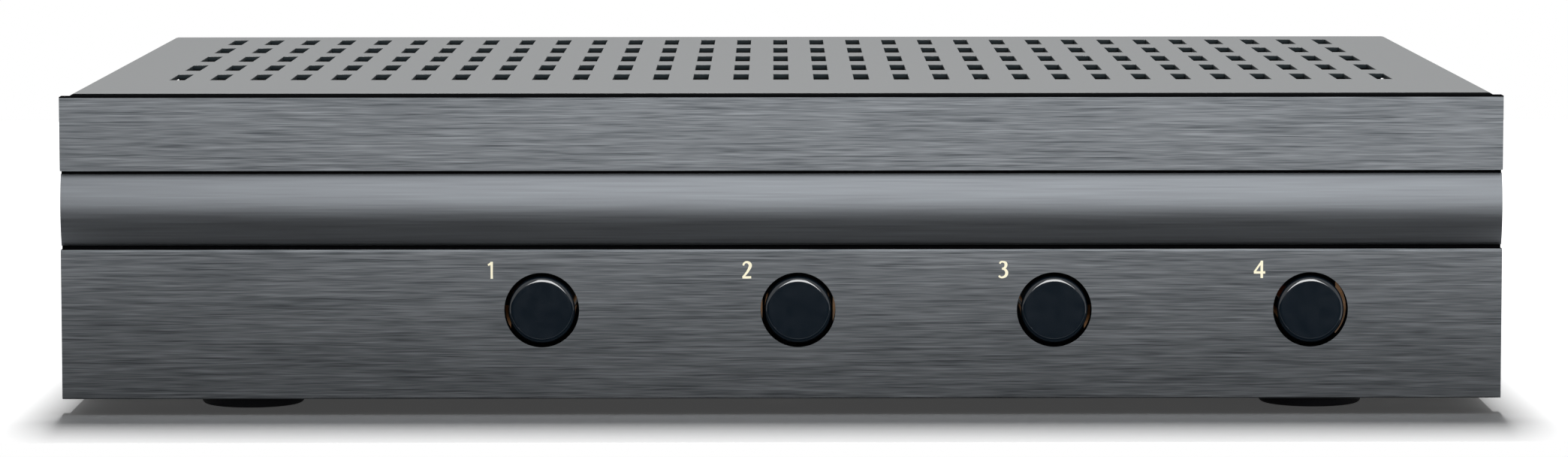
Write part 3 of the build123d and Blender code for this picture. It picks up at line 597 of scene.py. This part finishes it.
def thin_coat_and_painted_shade():
    """The same coat where it runs thin over the cover's cut edge: dull, with hardly any shine.
    Darker and duller than the rest of the coat, it also paints the shade along the front edge.
    """
    constants = {"Roughness": 0.8, "Specular_IOR_Level": 0.15}
    material, tree, shader = new_finish("thin_coat_and_painted_shade", **constants)
    tint(tree, shader, grain(tree, (0.5, 0.5, 0.5)), "#08090A", "#0E0F10")
    return material


def phenolic_board():
    """Paper-phenolic board: tan brown, with the paper's fibres as short darker flecks."""
    material, tree, shader = new_finish("paper_phenolic_board", Roughness=0.5)
    fibre = grain(tree, (2.5, 0.5, 1.0), detail=3.0)
    tint(tree, shader, spread(tree, fibre), "#8F6236", "#B5834C")
    return material


def moulded(name, dark, light, rough, texture, **constants):
    """Moulded plastic or rubber: two close shades of one colour, and the fine texture of its mould,
    given as the size of its cells and its depth."""
    material, tree, shader = new_finish(name, **constants)
    cell, depth = texture
    patch = grain(tree, (cell, cell, cell))
    tint(tree, shader, patch, dark, light)
    roughen(tree, shader, patch, *rough)
    relief(tree, shader, patch, depth)
    return material


def plated(name, dark, light, rough, patch_size):
    """Plated or bright metal: small patches of its surface a shade apart."""
    material, tree, shader = new_finish(name, Metallic=1.0)
    patch = grain(tree, (patch_size, patch_size, patch_size))
    tint(tree, shader, patch, dark, light)
    roughen(tree, shader, patch, *rough)
    return material


def striped(name, dark, light, rough, axis, pitch, depth):
    """Metal in thin layers or turns side by side: a dark line between each and the next, which
    between turns of wire is painted shade.
    """
    material, tree, shader = new_finish(name, Metallic=1.0, Roughness=rough)
    place = add(tree, "ShaderNodeTexCoord").outputs["Object"]
    along = add(tree, "ShaderNodeSeparateXYZ", {0: place}).outputs[axis]
    sockets = {0: along, 1: pitch * MM / 2}
    wave = add(tree, "ShaderNodeMath", sockets, operation="PINGPONG").outputs[0]
    sockets = {0: wave, 1: 0.0, 2: pitch * MM / 4, 3: 0.0, 4: 1.0}
    line = add(tree, "ShaderNodeMapRange", sockets).outputs[0]
    tint(tree, shader, line, dark, light)
    relief(tree, shader, line, depth)
    return material


# The finish of each slot in the record. Colours go from dark to light and roughness from low to
# high. A moulded finish has its texture last, and a plated one the size of its patches.
FINISHES = {
    "case_paint": powder_coat(),
    # Rubber from a matt mould: nearly black, with hardly any shine.
    "foot_rubber": moulded("moulded_rubber", "#101012", "#17171A", (0.7, 0.8), (0.5, 0.02)),
    # ABS from a polished mould: blue-black, with small clear highlights.
    "button_plastic": moulded(
        "polished_black_abs", "#0E161D", "#121A22", (0.06, 0.09), (2.0, 0.001), IOR=1.53
    ),
    # Zinc plate gone dull: a grey sheen that mirrors nothing.
    "screw_zinc": plated("dull_zinc_plate", "#6E7173", "#7D8082", (0.6, 0.68), 0.8),
    # Steel blackened in a hot oxide bath: dark, with a soft sheen.
    "screw_black": plated("black_oxide", "#1D1D1F", "#29292B", (0.36, 0.44), 0.8),
    "board_laminate": phenolic_board(),
    # Bright nickel plate: pale and warm, with soft reflections.
    "standoff_steel": plated("nickel_plate", "#B9B8B2", "#CBCAC4", (0.25, 0.33), 0.8),
    # Acetal as it comes from the mould: milky white and waxy.
    "plunger_plastic": moulded("natural_acetal", "#D6D2C6", "#DEDACF", (0.38, 0.46), (0.8, 0.01)),
    # Moulded PBT and nylon: black, with a fine even texture.
    "switch_plastic": moulded("black_pbt", "#141518", "#1B1C1F", (0.4, 0.5), (0.4, 0.01)),
    "connector_black": moulded("black_nylon", "#121214", "#19191B", (0.4, 0.5), (0.4, 0.01)),
    # Drawn spring wire: bright and smooth.
    "spring_steel": plated("spring_wire", "#A9A9AB", "#BCBCBD", (0.2, 0.28), 0.6),
    # Tin plate: pale, a little clouded.
    "tinned_metal": plated("tin_plate", "#C3C0B8", "#D2CFC8", (0.3, 0.4), 0.6),
    # Stamped steel laminations under brown varnish: fine dark lines between them.
    "core_lamination": striped(
        "varnished_laminations", "#1E1A18", "#57504A", 0.45, "Y", pitch=0.5, depth=0.03
    ),
    # Undyed nylon from the mould: cream, with a soft shine.
    "bobbin_plastic": moulded("moulded_nylon", "#C9C2AC", "#D3CCB8", (0.45, 0.55), (0.8, 0.01)),
    # Copper wire under clear enamel, wound turn by turn: red-brown, with painted shade as the dark
    # lines between the turns.
    "copper_enamel": striped(
        "enamelled_copper", "#5E2C14", "#B8642F", 0.3, "Z", pitch=0.8, depth=0.08
    ),
    # Zinc-plated strip, bent: a duller, more patchy grey than the screws.
    "bracket_zinc": plated("dull_zinc_strip", "#6E7172", "#7E8182", (0.55, 0.62), 1.5),
    # Glass-filled polyamide: the green of terminal plugs, half matt.
    "terminal_green": moulded("green_polyamide", "#1C6B41", "#23774A", (0.42, 0.5), (0.5, 0.015)),
}


def dress(node_name, finish):
    """Gives a CAD node one finish all over."""
    for place in frame["nodes"][node_name].material_slots:
        place.material = finish


for row in frame["record"]["subparts"]:
    if row["material_slot"] in FINISHES:
        dress(row["node"], FINISHES[row["material_slot"]])
# The leads are single wires of the windings: the same enamelled copper, without its turns.
lead_copper = plated("enamelled_copper_wire", "#A5531F", "#BC652F", (0.28, 0.34), 2.0)
dress("autoformer_leads", lead_copper)

front = fascia()
for finish in (brushed_anodised_aluminium, drawn_anodised_aluminium, matt_anodised_and_painted_shade):
    front.data.materials.append(finish())
ink = gold_ink()
for digit, button_x in zip("1234", BUTTON_XS):
    numeral(digit, button_x).data.materials.append(ink)
    spring(int(digit), button_x).data.materials.append(FINISHES["spring_steel"])
lid = cover()
lid.data.materials.append(FINISHES["case_paint"])
lid.data.materials.append(thin_coat_and_painted_shade())

# ---------------------------------------------------------------- table

TABLE_FRONT = -148.0
TABLE_BACK = 700.0
TABLE_SIDE = 500.0
# Its colour for scattered light and for the camera, and the little light of its own that the camera
# sees in its shadow.
TABLE_TO_LIGHT = (0.8, 0.8, 0.8, 1)
TABLE_TO_EYE = (1.5, 1.5, 1.5, 1)
TABLE_LIFT = 0.05


def stage_sheet(name, side, start, end, surface):
    """Flat sheet from a start to an end, each given as (y, z), that reaches as far as side to the
    left and right. The surface is a function that makes its shader in its material's nodes."""
    corners = [(-side, *start), (side, *start), (side, *end), (-side, *end)]
    sheet = mesh_object(name, corners, [(0, 1, 2, 3)], solid=False)
    material = bpy.data.materials.new(name)
    material.use_nodes = True
    tree = material.node_tree
    tree.nodes.clear()
    add(tree, "ShaderNodeOutputMaterial", {"Surface": surface(tree)})
    sheet.data.materials.append(material)
    return sheet


def seen_directly(tree):
    """1 for the camera, mirrors and glass, 0 for scattered light."""
    path = add(tree, "ShaderNodeLightPath").outputs
    seen = path["Is Camera Ray"]
    for ray in ("Is Glossy Ray", "Is Transmission Ray"):
        seen = add(tree, "ShaderNodeMath", {0: seen, 1: path[ray]}, operation="MAXIMUM").outputs[0]
    return seen


def white_table(tree):
    """Pale to the light, and white to the camera, mirrors and glass, so that it keeps only a soft
    shadow."""
    seen = seen_directly(tree)
    sockets = {0: seen, 6: TABLE_TO_LIGHT, 7: TABLE_TO_EYE}
    colour = add(tree, "ShaderNodeMix", sockets, data_type="RGBA").outputs[2]
    diffuse = add(tree, "ShaderNodeBsdfDiffuse", {"Color": colour}).outputs[0]
    lift = add(tree, "ShaderNodeMath", {0: seen, 1: TABLE_LIFT}, operation="MULTIPLY").outputs[0]
    glow = add(tree, "ShaderNodeEmission", {"Strength": lift}).outputs[0]
    return add(tree, "ShaderNodeAddShader", {0: diffuse, 1: glow}).outputs[0]


table = stage_sheet("white_table", TABLE_SIDE, (TABLE_FRONT, 0), (TABLE_BACK, 0), white_table)

# ---------------------------------------------------------------- black flags

# One black flag hangs across the front and one lies before the panel's foot, so that the metal
# grows darker towards the foot of the band and of each flat. The lying one is a painted shadow: a
# black sheet over the table's shadow that only mirrors see, so the metal mirrors that shadow darker
# than it is.
HANGING_FLAG_SETBACK = 71.0
HANGING_FLAG_LOW = -20.0
HANGING_FLAG_HIGH = 37.0
HANGING_FLAG_SIDE = 200.0
LYING_FLAG_START = 3.0
LYING_FLAG_END = 34.0
LYING_FLAG_SIDE = 150.0
LYING_FLAG_HEIGHT = 0.3


def black_cloth(tree):
    """Black felt, matt all over."""
    return add(tree, "ShaderNodeBsdfDiffuse", {"Color": linear("#202020")}).outputs[0]


def black_flag(name, side, start, end):
    """Black sheet that only mirrors see."""
    flag = stage_sheet(name, side, start, end, black_cloth)
    flag.visible_camera = False
    flag.visible_diffuse = False
    flag.visible_shadow = False


hanging_y = FACE_Y - HANGING_FLAG_SETBACK
black_flag(
    "hanging_flag",
    HANGING_FLAG_SIDE,
    (hanging_y, HANGING_FLAG_LOW),
    (hanging_y, HANGING_FLAG_HIGH),
)
black_flag(
    "lying_shadow_flag",
    LYING_FLAG_SIDE,
    (FACE_Y - LYING_FLAG_END, LYING_FLAG_HEIGHT),
    (FACE_Y - LYING_FLAG_START, LYING_FLAG_HEIGHT),
)

# ---------------------------------------------------------------- light

# The world's scattered light, which grows from dim to bright as its direction turns to the back,
# and the direction's Y where it begins to grow and where it is bright.
WORLD_DIM = 0.02
WORLD_BRIGHT = 0.9
DIM_UP_TO = 0.62
BRIGHT_FROM = 0.8

# Upright lamps before the selector, which face straight back.
FRONT_LAMP_Y = -1.5
FRONT_LAMP_Z = 0.83
FRONT_LAMP_HEIGHT = 1.72

# The lamp over the back, which makes the cover bright and throws the shadow forward.
TOP_LAMP_PLACE = (0, 0.88, 1.96)
TOP_LAMP_AIM = (0, -0.12, 0)
TOP_LAMP_WIDTH = 0.46
TOP_LAMP_HEIGHT = 1.2


def studio_world():
    """White all round for the camera, mirrors and glass. As scattered light it is dim except low
    behind."""
    world = bpy.data.worlds.new("studio")
    bpy.context.scene.world = world
    world.use_nodes = True
    world.cycles.sampling_method = "NONE"
    tree = world.node_tree
    tree.nodes.clear()
    direction = add(tree, "ShaderNodeTexCoord").outputs["Generated"]
    back = add(tree, "ShaderNodeSeparateXYZ", {0: direction}).outputs["Y"]
    sockets = {0: back, 1: DIM_UP_TO, 2: BRIGHT_FROM, 3: WORLD_DIM, 4: WORLD_BRIGHT}
    scattered = add(tree, "ShaderNodeMapRange", sockets).outputs[0]
    level = add(tree, "ShaderNodeMix", {0: seen_directly(tree), 2: scattered, 3: 1.0}).outputs[0]
    background = add(tree, "ShaderNodeBackground", {"Color": (1, 1, 1, 1), "Strength": level})
    add(tree, "ShaderNodeOutputWorld", {"Surface": background.outputs[0]})


def bank(name, place, width, height, aim, radiance):
    """Soft rectangular lamp that faces a point."""
    data = bpy.data.lights.new(name, "AREA")
    data.shape = "RECTANGLE"
    data.size = width
    data.size_y = height
    data.energy = radiance * math.pi * width * height
    lamp = bpy.data.objects.new(name, data)
    lamp.location = place
    lamp.rotation_euler = (Vector(aim) - Vector(place)).to_track_quat("-Z", "Y").to_euler()
    lamp.visible_camera = False
    bpy.context.scene.collection.objects.link(lamp)
    return lamp


def upright_bank(name, x, width, radiance):
    """Lamp before the selector that faces straight back."""
    place, aim = (x, FRONT_LAMP_Y, FRONT_LAMP_Z), (x, 0, FRONT_LAMP_Z)
    return bank(name, place, width, FRONT_LAMP_HEIGHT, aim, radiance)


def link_light(lamp, pieces, state="INCLUDE"):
    """Lets a lamp light only some pieces, or all but them."""
    chosen = bpy.data.collections.new(f"{lamp.name}_pieces")
    for piece in pieces:
        chosen.objects.link(piece)
    lamp.light_linking.receiver_collection = chosen
    for member in chosen.collection_objects:
        member.light_linking.link_state = state


studio_world()
# The fascia's shine and the caps' highlights each have a lamp of their own. A third one gives the
# front its scattered light, and a fourth lights all from above.
front_bank = upright_bank("front_bank", x=0.135, width=0.83, radiance=1.42)
link_light(front_bank, [front])
cap_bank = upright_bank("cap_bank", x=0.1, width=0.9, radiance=14.0)
cap_bank.visible_diffuse = False
link_light(cap_bank, [frame["nodes"][f"button_cap_{digit}"] for digit in "1234"])
front_fill = upright_bank("front_fill", x=0.47, width=1.5, radiance=4.8)
front_fill.visible_glossy = False
link_light(front_fill, [table], "EXCLUDE")
bank("top_bank", TOP_LAMP_PLACE, TOP_LAMP_WIDTH, TOP_LAMP_HEIGHT, TOP_LAMP_AIM, radiance=21.8)

# ---------------------------------------------------------------- camera

CAMERA_LENS = 129.9
CAMERA_SENSOR = 36.0
CAMERA_PLACE = (-0.0016, -1.20245, 0.1356)
# Degrees: down from level, rolled about the line of sight, and turned to the left.
CAMERA_DOWN = 5.166
CAMERA_ROLL = 0.049
CAMERA_TURN = -0.113

camera_data = bpy.data.cameras.new("camera")
camera_data.lens = CAMERA_LENS
camera_data.sensor_width = CAMERA_SENSOR
camera = bpy.data.objects.new("camera", camera_data)
camera.location = CAMERA_PLACE
camera.rotation_euler = [math.radians(a) for a in (90 - CAMERA_DOWN, CAMERA_ROLL, CAMERA_TURN)]
bpy.context.scene.collection.objects.link(camera)
bpy.context.scene.camera = camera
bpy.context.scene.view_settings.view_transform = "Standard"
